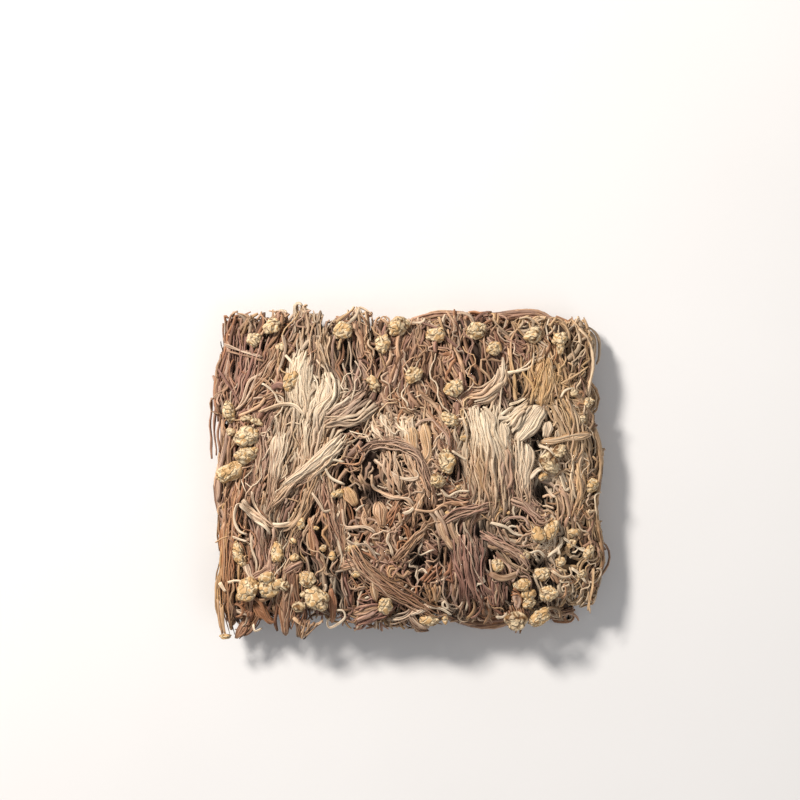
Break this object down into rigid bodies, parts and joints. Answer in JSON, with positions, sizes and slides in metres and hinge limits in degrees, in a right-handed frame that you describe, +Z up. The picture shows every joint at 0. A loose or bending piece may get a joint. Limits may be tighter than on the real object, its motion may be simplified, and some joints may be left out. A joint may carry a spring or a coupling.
{
  "type": "dried enoki mushroom bunch",
  "caption": "Flat pressed bunch of dried enoki mushrooms: tufts of long thin stems grown together at the root, with small wrinkled caps at their tips.",
  "frame": {"origin": "on the surface that the bunch lies on, under the middle of its box", "axes": "+X to the right of the picture, along the bunch's longer side; +Y to the top of the picture, along the upper stems; +Z up from the surface"},
  "size_m": [0.1774, 0.1523, 0.0319],
  "materials": {
    "mauve_brown": "dull, dried",
    "pale_straw": "dull, dried",
    "golden_tan": "dull, dried"
  },
  "bodies": {
    "root": {"upper_left_clump": "mauve_brown", "left_edge_clump": "mauve_brown", "pale_left_clump": "pale_straw", "pale_middle_clump": "pale_straw", "tangled_left_clump": "mauve_brown", "tangled_right_clump": "mauve_brown", "cream_root_clump": "pale_straw", "pale_right_clump": "pale_straw", "right_edge_clump": "golden_tan", "upper_middle_clump": "mauve_brown", "upper_right_clump": "mauve_brown", "golden_clump": "golden_tan", "under_left_clump_1": "mauve_brown", "under_left_clump_2": "golden_tan", "under_left_clump_3": "mauve_brown", "under_left_clump_4": "mauve_brown", "under_right_clump_1": "mauve_brown", "under_right_clump_2": "golden_tan", "under_right_clump_3": "mauve_brown", "under_right_clump_4": "mauve_brown"}
  },
  "joints": []
}
